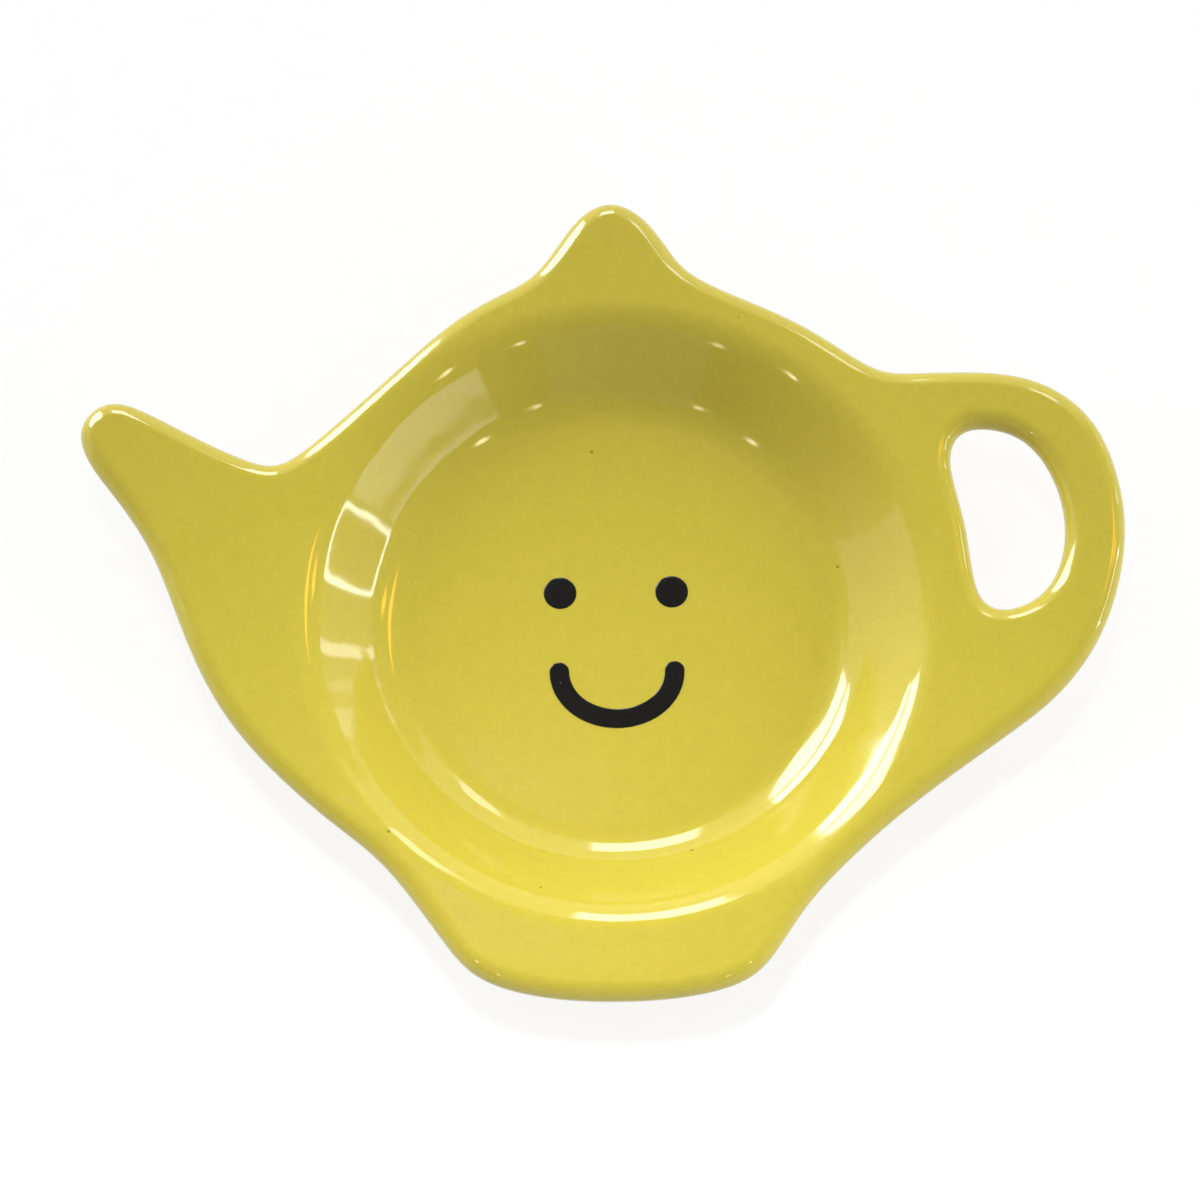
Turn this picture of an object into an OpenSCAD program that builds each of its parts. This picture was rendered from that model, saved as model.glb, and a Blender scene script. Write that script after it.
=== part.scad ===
// Tea bag rest: a small glazed earthenware dish whose rim has the outline of a teapot seen from the
// side, with a round well in the middle that holds a used tea bag.
// X points to the handle, Y to the lid's knob and Z up. The origin is on the table, on the well's axis.

/* [Well] */
// Radius of the flat floor, from where the well curves up
floor_r = 24; // [20:0.5:25]
// Radius at which the wall of the well has risen to the rim
lip_r = 39.2; // [37:0.1:40.5]
// Depth of the well, from the rim down to its floor
well_depth = 8.8; // [5:0.1:10]
// Thickness of the floor
floor_t = 4; // [3:0.1:5]
// How much farther out the underside starts to rise than the floor
under_spread = 2; // [1:0.1:4]

/* [Rim] */
// Mean radius of the rim beside the well, where it is narrowest
rim_r = 41; // [40.5:0.5:44]
// Thickness of the rim
rim_t = 4.4; // [3.6:0.1:5]
// How far in from its edge the rim is rounded
edge_r = 2.2; // [1.6:0.1:2.4]

/* [Spout] */
// Reach of the spout past the narrow rim
spout_reach = 24; // [20:0.5:30]
// Height of the spout's tip above the well's axis, as the teapot stands upright
spout_lift = 26.4; // [24:0.2:30]

/* [Lid knob] */
// Rise of the knob past the narrow rim
knob_rise = 11; // [8:0.5:15]
// Width of the knob where it grows out of the lid
knob_w = 22; // [18:0.5:26]

/* [Handle] */
// Reach of the handle past the narrow rim
handle_reach = 20.5; // [19.5:0.5:26]
// Height of the handle's top above the well's axis
handle_top = 30.4; // [29:0.2:34]
// Width of the finger hole
hole_w = 13.7; // [10:0.1:14]
// Height of the finger hole
hole_h = 22.8; // [16:0.2:23]
// Middle of the finger hole, past the narrow rim
hole_x = 6.35; // [6:0.05:8]
// Middle of the finger hole, above the well's axis
hole_y = 11.9; // [10:0.1:13]

/* [Base of the teapot] */
// Drop of the teapot's base past the narrow rim
base_drop = 6.2; // [4:0.2:10]
// Width of the teapot's base
base_w = 36; // [30:0.5:42]

/* [Foot ring] */
// How far in from the wall's lowest place the bare ring stands that carries the dish
foot_inset = 0.5; // [0.2:0.1:3]
// Width of the ring
foot_w = 2.6; // [2:0.1:5]
// Height of the ring, from the table to the glaze
foot_h = 2; // [1.5:0.1:4]
// Bevel on both lower corners of the ring
foot_bevel = 0.4; // [0.2:0.1:0.6]

/* [Glaze] */
// Thickness of the coat of glaze
glaze_t = 0.4; // [0.3:0.05:0.6]
// Gap between the glaze and the wiped foot ring
foot_gap = 0.1; // [0.1:0.05:0.5]

/* [Printed face] */
// Thickness of the fired print
print_t = 0.1; // [0.06:0.02:0.3]
// Diameter of each eye
eye_d = 4; // [2:0.1:5]
// Distance between the middles of the eyes
eye_gap = 13.6; // [8:0.1:18]
// Height of the eyes above the well's axis
eye_y = 4.5; // [2:0.05:8]
// Half of the width of the smile, between the middles of its ends
smile_r = 7; // [4:0.1:10]
// Depth of the smile, from its ends to its lowest place
smile_drop = 5.9; // [3:0.1:8]
// Width of the line that draws the smile
smile_w = 2.4; // [1:0.1:3]
// Height of the smile's middle, below the well's axis
smile_y = 5.4; // [3:0.05:7]
// Turn of the whole face on the floor, in degrees
face_turn = 0.8; // [-3:0.1:3]

/* [Hidden] */
$fn = 96;

// Heights over the table
floor_z = foot_h + floor_t;
rim_z = floor_z + well_depth;
rim_under_z = rim_z - rim_t;

// The wall's outer face rises from here to the rim's underside, which it meets halfway between
// the lip and the narrow rim's edge
outer_floor_r = floor_r + under_spread;
outer_lip_r = (lip_r + rim_r) / 2;

// Outer radius of the foot ring
foot_r = outer_floor_r - foot_inset;

// How steep the wall is on the way out from the floor to the lip: shares of that way, and of the
// steepest slope. The floor curves up at a fillet, and the wall ends in a rounded lip.
wall_slope_shares = [[0, 0], [0.1, 0.03], [0.41, 1], [0.75, 0.97], [1, 0]];

// The outline of the teapot, anticlockwise, as points that the rim's edge passes through.
// Shares of the handle's reach past the narrow rim, and of the height of its top
handle_shares = [
  [0.312, -0.477], [0.590, -0.321], [0.813, -0.122], [0.944, 0.105], [1.000, 0.350], [0.952, 0.592],
  [0.805, 0.814], [0.512, 0.959], [0.156, 1.000], [-0.220, 0.997], [-0.420, 1.006]];
// Bearings from the well's axis, and shares of the narrow rim's radius
right_shoulder_shares = [[48.8, 1.057], [58.3, 1.048]];
// Shares of the knob's width, and of its rise past the narrow rim
knob_shares = [
  [0.700, -0.105], [0.523, 0.062], [0.377, 0.250], [0.277, 0.518], [0.177, 0.782], [0.055, 0.964],
  [-0.060, 1.000], [-0.177, 0.891], [-0.273, 0.673], [-0.364, 0.409], [-0.482, 0.127], [-0.659, -0.077]];
left_shoulder_shares = [[118.9, 1.021], [132.6, 0.991], [145.9, 1.017]];
// Shares of the spout's reach past the narrow rim, and of the height of its tip
spout_shares = [
  [-0.100, 0.756], [0.017, 0.705], [0.150, 0.725], [0.380, 0.818], [0.633, 0.938], [0.800, 1.000],
  [0.917, 0.979], [0.990, 0.905], [0.998, 0.810], [0.933, 0.682], [0.796, 0.521], [0.633, 0.292],
  [0.517, 0.038], [0.370, -0.280], [0.140, -0.603]];
lower_left_shares = [[214.7, 1.050], [225.6, 1.009], [235.2, 1.039]];
// Shares of the base's width, and of its drop past the narrow rim
base_shares = [
  [-0.567, -0.129], [-0.478, 0.452], [-0.350, 0.790], [-0.180, 0.968], [0.000, 1.008],
  [0.180, 0.952], [0.342, 0.774], [0.461, 0.452], [0.542, -0.113]];
lower_right_shares = [[303.3, 1.024], [313.9, 0.999], [328.0, 1.042]];

function rim_point(bearing, share) = rim_r * share * [cos(bearing), sin(bearing)];
features = [
  [for (s = handle_shares) [rim_r + handle_reach * s.x, handle_top * s.y]],
  [for (s = right_shoulder_shares) rim_point(s.x, s.y)],
  [for (s = knob_shares) [knob_w * s.x, rim_r + knob_rise * s.y]],
  [for (s = left_shoulder_shares) rim_point(s.x, s.y)],
  [for (s = spout_shares) [-rim_r - spout_reach * s.x, spout_lift * s.y]],
  [for (s = lower_left_shares) rim_point(s.x, s.y)],
  [for (s = base_shares) [base_w * s.x, -rim_r - base_drop * s.y]],
  [for (s = lower_right_shares) rim_point(s.x, s.y)]];
outline = [for (f = features) each f];

// Each feature grows out of its own stretch of the well's lip, spread evenly over its points
function bearing(p) = atan2(p.y, p.x);
function turn_between(a, b) = (b - a) - 360 * round((b - a) / 360);
roots = [
  for (f = features)
    let (first = bearing(f[0]), turn = turn_between(first, bearing(f[len(f) - 1])))
    for (k = [0 : len(f) - 1]) first + turn * k / (len(f) - 1)];

// The finger hole, clockwise from its lowest place, in shares of its width and height from its middle
hole_shares = [
  [-0.026, -0.499], [-0.215, -0.463], [-0.303, -0.345], [-0.347, -0.169], [-0.391, 0.002], [-0.460, 0.173],
  [-0.500, 0.331], [-0.427, 0.454], [-0.245, 0.500], [0.047, 0.471], [0.266, 0.366], [0.412, 0.212],
  [0.489, 0.041], [0.493, -0.139], [0.405, -0.314], [0.230, -0.439]];
hole = [for (s = hole_shares) [rim_r + hole_x + hole_w * s.x, hole_y + hole_h * s.y]];

// A smooth closed curve through a ring of points: a cubic B-spline, whose control points are the
// ring's points pushed out so that the curve comes back to them. The place u counts points.
function around(ring, k) = ring[(k + len(ring)) % len(ring)];
function pushed(ring) = [
  for (k = [0 : len(ring) - 1])
    ring[k] + (2 * ring[k] - around(ring, k - 1) - around(ring, k + 1)) / 6];
function curve_point(ctrl, u) =
  let (k = floor(u), t = u - k)
  (around(ctrl, k - 1) * pow(1 - t, 3)
    + around(ctrl, k) * (3 * pow(t, 3) - 6 * pow(t, 2) + 4)
    + around(ctrl, k + 1) * (-3 * pow(t, 3) + 3 * pow(t, 2) + 3 * t + 1)
    + around(ctrl, k + 2) * pow(t, 3)) / 6;
function curve_travel(ctrl, u) =
  let (k = floor(u), t = u - k)
  (-around(ctrl, k - 1) * pow(1 - t, 2)
    + around(ctrl, k) * (3 * pow(t, 2) - 4 * t)
    + around(ctrl, k + 1) * (-3 * pow(t, 2) + 2 * t + 1)
    + around(ctrl, k + 2) * pow(t, 2)) / 2;
// The direction square to the curve, to the left of the way it runs, which is into the clay
function curve_inward(ctrl, u) =
  let (d = curve_travel(ctrl, u))
  [-d.y, d.x] / norm(d);
// A place on an edge of the dish: where it is, and the direction into the clay
function edge_place(ctrl, u) = [curve_point(ctrl, u), curve_inward(ctrl, u)];

// The wall's rise up to a share t of its way, as the area under its slopes from the part k onwards
function rise(t, k = 1) =
  k == len(wall_slope_shares) || t <= wall_slope_shares[k - 1].x ? 0
    : let (
        a = wall_slope_shares[k - 1],
        b = wall_slope_shares[k],
        end = min(t, b.x),
        slope = lerp(a.y, b.y, (end - a.x) / (b.x - a.x)))
      (end - a.x) * (a.y + slope) / 2 + rise(t, k + 1);
whole_rise = rise(1);
// Heights of the dish's upper and lower face at a distance r from the well's axis, under a coat c
function fall(r, inner_r, outer_r) = 1 - rise((r - inner_r) / (outer_r - inner_r)) / whole_rise;
function upper_z(r, c) = rim_z - c - well_depth * fall(r, floor_r, lip_r);
function lower_z(r, c) = rim_under_z + c - (rim_under_z - foot_h) * fall(r, outer_floor_r, outer_lip_r);
// A point of the surface over a plan place: k is 1 on the upper face, -1 on the lower one, and
// between them on a rounded edge
function surface_point(p, k, c) =
  let (top = upper_z(norm(p), c), low = lower_z(norm(p), c))
  [p.x, p.y, (top + low) / 2 + k * (top - low) / 2];
function rounded_point(place, a, c) =
  surface_point(place[0] + place[1] * (c + (edge_r - c) * (1 - cos(a))), sin(a), c);
// Where the rounding ends and the flat rim starts
function rim_start(place) = place[0] + place[1] * edge_r;

// The surface is a grid. Its columns run out from the well's axis over the wall and the rim, round
// the edge and back below; its rows run round the dish. The finger hole is one row of cells left out.
columns_per_point = 2;
columns = columns_per_point * len(outline);
outline_ctrl = pushed(outline);
edge_places = [for (i = [0 : columns - 1]) edge_place(outline_ctrl, i / columns_per_point)];

function column_bearing(i) =
  let (u = i / columns_per_point, k = floor(u))
  roots[k] + turn_between(roots[k], around(roots, k + 1)) * (u - k);

// The columns that pass the finger hole, and the places round its edge that they meet: the near
// ones from the hole's lowest place up its left side, and the far ones up its right side
columns_before_hole_n = 4;
hole_cells_n = 12;
hole_places_n = 2 * (hole_cells_n + 1);
hole_ctrl = pushed(hole);
hole_places = [for (m = [0 : hole_places_n - 1]) edge_place(hole_ctrl, m * len(hole) / hole_places_n)];
function near_place(i) = i - columns_before_hole_n;
function is_hole_column(i) = near_place(i) >= 0 && near_place(i) <= hole_cells_n;
function far_place(i) = hole_places_n - 1 - near_place(i);

// Shares of the way from the floor's edge to the lip at which the wall's rows lie
wall_row_shares = [0, 0.1, 0.2, 0.3, 0.41, 0.58, 0.75, 0.87, 1];
wall_steps = len(wall_row_shares) - 1;
outer_wall_steps = 4;
edge_step = 30;
// Shares of the way from the lip to the edge's rounding at which the rim's two rows lie
rim_row_shares = [0.3, 0.6];
// Share of the way out to the rim's first point at which the wall's rows stop, where the rim is narrow
narrow_share = 0.985;

function lerp(a, b, t) = a + (b - a) * t;
function spaced(a, b, n) = [for (s = [0 : n]) lerp(a, b, s / n)];
// One column of the surface, from the floor's edge to the foot ring
function column(i, c) =
  let (
    place = edge_places[i],
    out = [cos(column_bearing(i)), sin(column_bearing(i))],
    flat = rim_start(place),
    first = is_hole_column(i) ? rim_start(hole_places[near_place(i)]) : flat,
    lip = min(lip_r, narrow_share * norm(first)),
    outer_lip = min(outer_lip_r, narrow_share * norm(first)),
    rim_plan = is_hole_column(i)
      ? [first, rim_start(hole_places[far_place(i)])]
      : [for (s = rim_row_shares) lerp(out * lip, flat, s)])
  concat(
    [for (s = wall_row_shares) surface_point(out * lerp(floor_r, lip, s), 1, c)],
    [for (p = rim_plan) surface_point(p, 1, c)],
    [for (a = [90 : -edge_step : -90]) rounded_point(place, a, c)],
    [for (k = [len(rim_plan) - 1 : -1 : 0]) surface_point(rim_plan[k], -1, c)],
    [for (r = spaced(outer_lip, outer_floor_r, outer_wall_steps)) surface_point(out * r, -1, c)],
    [surface_point(out * (foot_r + foot_gap), -1, c)]);

near_row = wall_steps + 1;
far_row = near_row + 1;
lower_far_row = far_row + 180 / edge_step + 2;
lower_near_row = lower_far_row + 1;
rows = lower_near_row + outer_wall_steps + 3;
rounding_rows = 180 / edge_step - 1;

// All points of one surface: the grid, the rows that round the finger hole, and the floor's middle
function surface_points(c) = concat(
  [for (i = [0 : columns - 1]) each column(i, c)],
  [for (k = [1 : rounding_rows], place = hole_places) rounded_point(place, 90 - k * edge_step, c)],
  [[0, 0, upper_z(0, c)]]);
grid_n = columns * rows;
middle_point = grid_n + rounding_rows * hole_places_n;
surface_n = middle_point + 1;

function grid_point(i, j) = (i % columns) * rows + j;
// A four-cornered cell as two triangles, split along the shorter way across the outer surface
outer_points = surface_points(0);
function cell(a, b, c, d) =
  norm(outer_points[a] - outer_points[c]) < norm(outer_points[b] - outer_points[d])
    ? [[a, b, c], [a, c, d]]
    : [[a, b, d], [b, c, d]];
function is_hole_cell(i, j) =
  is_hole_column(i) && is_hole_column(i + 1) && (j == near_row || j == lower_far_row);
// The point on row k of the hole's rounding at place m, where the first and last rows are the grid's
function hole_point(k, m) =
  let (
    w = (m + hole_places_n) % hole_places_n,
    near = w <= hole_cells_n,
    i = columns_before_hole_n + (near ? w : hole_places_n - 1 - w))
  k == 0 ? grid_point(i, near ? near_row : far_row)
    : k > rounding_rows ? grid_point(i, near ? lower_near_row : lower_far_row)
    : grid_n + (k - 1) * hole_places_n + w;
surface_faces = concat(
  [for (i = [0 : columns - 1]) [middle_point, grid_point(i + 1, 0), grid_point(i, 0)]],
  [for (i = [0 : columns - 1], j = [0 : rows - 2])
    if (!is_hole_cell(i, j))
      each cell(grid_point(i, j), grid_point(i + 1, j), grid_point(i + 1, j + 1), grid_point(i, j + 1))],
  [for (k = [0 : rounding_rows], m = [0 : hole_places_n - 1])
    each cell(hole_point(k, m), hole_point(k, m + 1), hole_point(k + 1, m + 1), hole_point(k + 1, m))]);

// The biscuit-fired clay under the glaze: well, wall and teapot rim in one casting
module clay_body() {
  under_middle = surface_n;
  color("#e6d9bf")
    polyhedron(
      points = concat(surface_points(glaze_t), [[0, 0, lower_z(0, glaze_t)]]),
      faces = concat(
        surface_faces,
        [for (i = [0 : columns - 1])
          [grid_point(i, rows - 1), grid_point(i + 1, rows - 1), under_middle]]),
      convexity = 6);
}

// The yellow glaze, all over the clay but for the foot ring and what that encloses
module glaze_coat() {
  color("#d3c548")
    polyhedron(
      points = concat(outer_points, surface_points(glaze_t)),
      faces = concat(
        surface_faces,
        [for (f = surface_faces) [f[2], f[1], f[0]] + surface_n * [1, 1, 1]],
        [for (i = [0 : columns - 1])
          let (a = grid_point(i, rows - 1), b = grid_point(i + 1, rows - 1))
          each [[a, b, b + surface_n], [a, b + surface_n, a + surface_n]]]),
      convexity = 8);
}

// The ring that the dish stands on, wiped bare of glaze so that it doesn't stick in the kiln
module foot_ring() {
  inner_r = foot_r - foot_w;
  color("#e6d9bf")
    rotate_extrude()
      polygon([
        [inner_r + foot_bevel, 0], [foot_r - foot_bevel, 0], [foot_r, foot_bevel],
        [foot_r, foot_h + glaze_t], [inner_r, foot_h + glaze_t], [inner_r, foot_bevel]]);
}

// The glaze on the underside of the floor, inside the foot ring
module foot_recess_glaze() {
  color("#d3c548")
    translate([0, 0, foot_h])
      cylinder(r = foot_r - foot_w - foot_gap, h = glaze_t);
}

// What is printed on the floor lies on the glaze, turned together
module on_floor() {
  translate([0, 0, floor_z])
    rotate(face_turn)
      linear_extrude(print_t)
        children();
}

module eye(side) {
  color("#1b1a16")
    on_floor()
      translate([side * eye_gap / 2, eye_y])
        circle(d = eye_d);
}

module left_eye() {
  eye(-1);
}

module right_eye() {
  eye(1);
}

// The smile is half of an oval, drawn with a line of even width and round ends
smile_steps = 28;
function smile_line(a, off) =
  let (across = [smile_drop * cos(a), smile_r * sin(a)])
  [smile_r * cos(a), smile_drop * sin(a) - smile_y] + across / norm(across) * off;
module smile() {
  color("#1b1a16")
    on_floor()
      union() {
        polygon(concat(
          [for (s = [0 : smile_steps]) smile_line(180 + 180 * s / smile_steps, smile_w / 2)],
          [for (s = [smile_steps : -1 : 0]) smile_line(180 + 180 * s / smile_steps, -smile_w / 2)]));
        for (side = [-1, 1])
          translate([side * smile_r, -smile_y])
            circle(d = smile_w);
      }
}

clay_body();
foot_ring();
glaze_coat();
foot_recess_glaze();
left_eye();
right_eye();
smile();
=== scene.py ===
import math

import bpy
import numpy as np
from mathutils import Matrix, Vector


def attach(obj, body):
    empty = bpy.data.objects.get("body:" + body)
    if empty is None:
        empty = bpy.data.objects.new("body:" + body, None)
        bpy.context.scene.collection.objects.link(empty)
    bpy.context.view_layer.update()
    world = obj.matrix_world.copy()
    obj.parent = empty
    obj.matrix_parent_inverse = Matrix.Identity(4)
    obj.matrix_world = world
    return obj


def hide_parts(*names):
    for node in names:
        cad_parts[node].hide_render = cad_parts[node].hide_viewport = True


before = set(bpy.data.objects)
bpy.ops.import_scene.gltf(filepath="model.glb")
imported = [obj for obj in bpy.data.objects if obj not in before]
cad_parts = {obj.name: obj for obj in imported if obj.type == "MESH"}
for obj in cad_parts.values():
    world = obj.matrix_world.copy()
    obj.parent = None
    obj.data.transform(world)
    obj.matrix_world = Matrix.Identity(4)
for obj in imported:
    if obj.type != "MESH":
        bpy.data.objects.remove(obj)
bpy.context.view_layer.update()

MM = 0.001

# The well
FLOOR_R = 24.0
LIP_R = 39.2
WELL_DEPTH = 8.8
FLOOR_T = 4.0
UNDER_SPREAD = 2.0
# The rim
RIM_R = 41.0
RIM_T = 4.4
EDGE_R = 2.2
# The teapot's spout, knob, handle and base
SPOUT_REACH, SPOUT_LIFT = 24.0, 26.4
KNOB_RISE, KNOB_W = 11.0, 22.0
HANDLE_REACH, HANDLE_TOP = 20.5, 30.4
HOLE_W, HOLE_H, HOLE_X, HOLE_Y = 13.7, 22.8, 6.35, 11.9
BASE_DROP, BASE_W = 6.2, 36.0
# The foot ring
FOOT_INSET = 0.5
FOOT_W = 2.6
FOOT_H = 2.0
FOOT_BEVEL = 0.4
# The glaze
GLAZE_T = 0.4
FOOT_GAP = 0.1
# The printed face
PRINT_T = 0.1
EYE_D, EYE_GAP, EYE_Y = 4.0, 13.6, 4.5
SMILE_R, SMILE_DROP, SMILE_W, SMILE_Y = 7.0, 5.9, 2.4, 5.4
FACE_TURN = 0.8

FLOOR_Z = FOOT_H + FLOOR_T
RIM_Z = FLOOR_Z + WELL_DEPTH
RIM_UNDER_Z = RIM_Z - RIM_T
OUTER_FLOOR_R = FLOOR_R + UNDER_SPREAD
OUTER_LIP_R = (LIP_R + RIM_R) / 2
FOOT_R = OUTER_FLOOR_R - FOOT_INSET
FOOT_INNER_R = FOOT_R - FOOT_W
RECESS_R = FOOT_INNER_R - FOOT_GAP

# How steep the wall is from the floor to the lip: shares of the way out, and of the steepest slope
WALL_SLOPE_SHARES = [(0, 0), (0.1, 0.03), (0.41, 1), (0.75, 0.97), (1, 0)]

# The outline's points, anticlockwise, in shares of the sizes that they follow
HANDLE_SHARES = [
    (0.312, -0.477), (0.590, -0.321), (0.813, -0.122), (0.944, 0.105), (1.000, 0.350), (0.952, 0.592),
    (0.805, 0.814), (0.512, 0.959), (0.156, 1.000), (-0.220, 0.997), (-0.420, 1.006)]
RIGHT_SHOULDER_SHARES = [(48.8, 1.057), (58.3, 1.048)]
KNOB_SHARES = [
    (0.700, -0.105), (0.523, 0.062), (0.377, 0.250), (0.277, 0.518), (0.177, 0.782), (0.055, 0.964),
    (-0.060, 1.000), (-0.177, 0.891), (-0.273, 0.673), (-0.364, 0.409), (-0.482, 0.127), (-0.659, -0.077)]
LEFT_SHOULDER_SHARES = [(118.9, 1.021), (132.6, 0.991), (145.9, 1.017)]
SPOUT_SHARES = [
    (-0.100, 0.756), (0.017, 0.705), (0.150, 0.725), (0.380, 0.818), (0.633, 0.938), (0.800, 1.000),
    (0.917, 0.979), (0.990, 0.905), (0.998, 0.810), (0.933, 0.682), (0.796, 0.521), (0.633, 0.292),
    (0.517, 0.038), (0.370, -0.280), (0.140, -0.603)]
LOWER_LEFT_SHARES = [(214.7, 1.050), (225.6, 1.009), (235.2, 1.039)]
BASE_SHARES = [
    (-0.567, -0.129), (-0.478, 0.452), (-0.350, 0.790), (-0.180, 0.968), (0.000, 1.008),
    (0.180, 0.952), (0.342, 0.774), (0.461, 0.452), (0.542, -0.113)]
LOWER_RIGHT_SHARES = [(303.3, 1.024), (313.9, 0.999), (328.0, 1.042)]
HOLE_SHARES = [
    (-0.026, -0.499), (-0.215, -0.463), (-0.303, -0.345), (-0.347, -0.169), (-0.391, 0.002),
    (-0.460, 0.173), (-0.500, 0.331), (-0.427, 0.454), (-0.245, 0.500), (0.047, 0.471), (0.266, 0.366),
    (0.412, 0.212), (0.489, 0.041), (0.493, -0.139), (0.405, -0.314), (0.230, -0.439)]


def shoulder_point(angle, share):
    """A point between two features: an angle in degrees from the handle, a share of the rim's radius."""
    turn = math.radians(angle)
    return (RIM_R * share * math.cos(turn), RIM_R * share * math.sin(turn))


FEATURES = [
    [(RIM_R + HANDLE_REACH * x, HANDLE_TOP * y) for x, y in HANDLE_SHARES],
    [shoulder_point(*s) for s in RIGHT_SHOULDER_SHARES],
    [(KNOB_W * x, RIM_R + KNOB_RISE * y) for x, y in KNOB_SHARES],
    [shoulder_point(*s) for s in LEFT_SHOULDER_SHARES],
    [(-RIM_R - SPOUT_REACH * x, SPOUT_LIFT * y) for x, y in SPOUT_SHARES],
    [shoulder_point(*s) for s in LOWER_LEFT_SHARES],
    [(BASE_W * x, -RIM_R - BASE_DROP * y) for x, y in BASE_SHARES],
    [shoulder_point(*s) for s in LOWER_RIGHT_SHARES]]
OUTLINE = np.array([p for f in FEATURES for p in f])
HOLE = np.array([(RIM_R + HOLE_X + HOLE_W * x, HOLE_Y + HOLE_H * y) for x, y in HOLE_SHARES])


def turn_between(a, b):
    """The shorter turn from one angle to another, in radians."""
    return (b - a + math.pi) % (2 * math.pi) - math.pi


def column_roots():
    """The angle at which each outline point's column leaves the well: even over each feature."""
    roots = []
    for points in FEATURES:
        first, last = (math.atan2(p[1], p[0]) for p in (points[0], points[-1]))
        turn = turn_between(first, last)
        roots += [first + turn * k / (len(points) - 1) for k in range(len(points))]
    return roots


def edge_places(ring, counts):
    """Places on the smooth closed curve through a ring of points, and the directions there into the clay."""
    before, after = np.roll(ring, 1, 0), np.roll(ring, -1, 0)
    ctrl = ring + (2 * ring - before - after) / 6
    k = np.floor(counts).astype(int)
    t = (counts - k)[:, None]
    c0, c1, c2, c3 = (ctrl[(k + step) % len(ring)] for step in (-1, 0, 1, 2))
    place = (c0 * (1 - t) ** 3 + c1 * (3 * t**3 - 6 * t**2 + 4)
             + c2 * (-3 * t**3 + 3 * t**2 + 3 * t + 1) + c3 * t**3) / 6
    travel = (-c0 * (1 - t) ** 2 + c1 * (3 * t**2 - 4 * t) + c2 * (-3 * t**2 + 2 * t + 1) + c3 * t**2) / 2
    inward = np.stack([-travel[:, 1], travel[:, 0]], -1)
    return place, inward / np.linalg.norm(inward, axis=1)[:, None]


def fall(r, inner_r, outer_r):
    """1 on the floor and 0 on the rim. Between them the wall rises by the area under its slopes."""
    share = min(max((r - inner_r) / (outer_r - inner_r), 0), 1)
    rise = whole = 0
    for (a, slope_a), (b, slope_b) in zip(WALL_SLOPE_SHARES, WALL_SLOPE_SHARES[1:]):
        end = min(max(share, a), b)
        slope = slope_a + (slope_b - slope_a) * (end - a) / (b - a)
        rise += (end - a) * (slope_a + slope) / 2
        whole += (b - a) * (slope_a + slope_b) / 2
    return 1 - rise / whole


def clay_point(plan, k, coat):
    """A point over a plan place: k is 1 on the upper face, -1 on the lower one, between on a rounded edge."""
    r = math.hypot(*plan)
    top = RIM_Z - coat - WELL_DEPTH * fall(r, FLOOR_R, LIP_R)
    low = RIM_UNDER_Z + coat - (RIM_UNDER_Z - FOOT_H) * fall(r, OUTER_FLOOR_R, OUTER_LIP_R)
    return (plan[0], plan[1], (top + low) / 2 + k * (top - low) / 2)


# The glaze's grid: its columns run out from the well's middle, round the rim's edge and back to the foot
COLUMNS_PER_POINT = 6
COLUMNS = COLUMNS_PER_POINT * len(OUTLINE)
FLOOR_RINGS = [4.0, 9.0, 14.0, 19.0]
# Rows of points on the wall, from each place in its list of slopes to the next
WALL_ROWS = [2, 13, 7, 12]
WALL_ROW_SHARES = [0.0]
for (from_share, _), (to_share, _), row_count in zip(WALL_SLOPE_SHARES, WALL_SLOPE_SHARES[1:], WALL_ROWS):
    WALL_ROW_SHARES += list(np.linspace(from_share, to_share, row_count + 1)[1:])
OUTER_WALL_STEPS = 14
ROUNDING_STEPS = 20
RIM_ROW_SHARES = (0.3, 0.6)
# Where the rim is narrow, the well's lip stays within this share of the way out to the edge's rounding
NARROW_SHARE = 0.985
# The finger hole takes cells out of the rim: from which column, how many, and its places all round
POINTS_BEFORE_HOLE, POINTS_PAST_HOLE = 2, 6
FIRST_HOLE_COLUMN = POINTS_BEFORE_HOLE * COLUMNS_PER_POINT
HOLE_CELLS = POINTS_PAST_HOLE * COLUMNS_PER_POINT
HOLE_PLACES = 2 * (HOLE_CELLS + 1)
# How far round the hole, counted in its points, its near side ends and its far side runs
NEAR_SIDE_END = 6.8
FAR_SIDE_ENDS = (7.0, 15.8)
# The rows at the hole's near and far edges, on the upper face and on the lower one, and how many there are
NEAR_ROW = len(FLOOR_RINGS) + len(WALL_ROW_SHARES)
FAR_ROW = NEAR_ROW + 1
LOWER_FAR_ROW = FAR_ROW + ROUNDING_STEPS + 2
LOWER_NEAR_ROW = LOWER_FAR_ROW + 1
ROWS = LOWER_NEAR_ROW + OUTER_WALL_STEPS + 3


def rounded_plan(place, inward, a, coat):
    """The plan place on an edge's rounding, whose angle runs from a quarter turn above to one below."""
    return place + inward * (coat + (EDGE_R - coat) * (1 - math.cos(a)))


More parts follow.
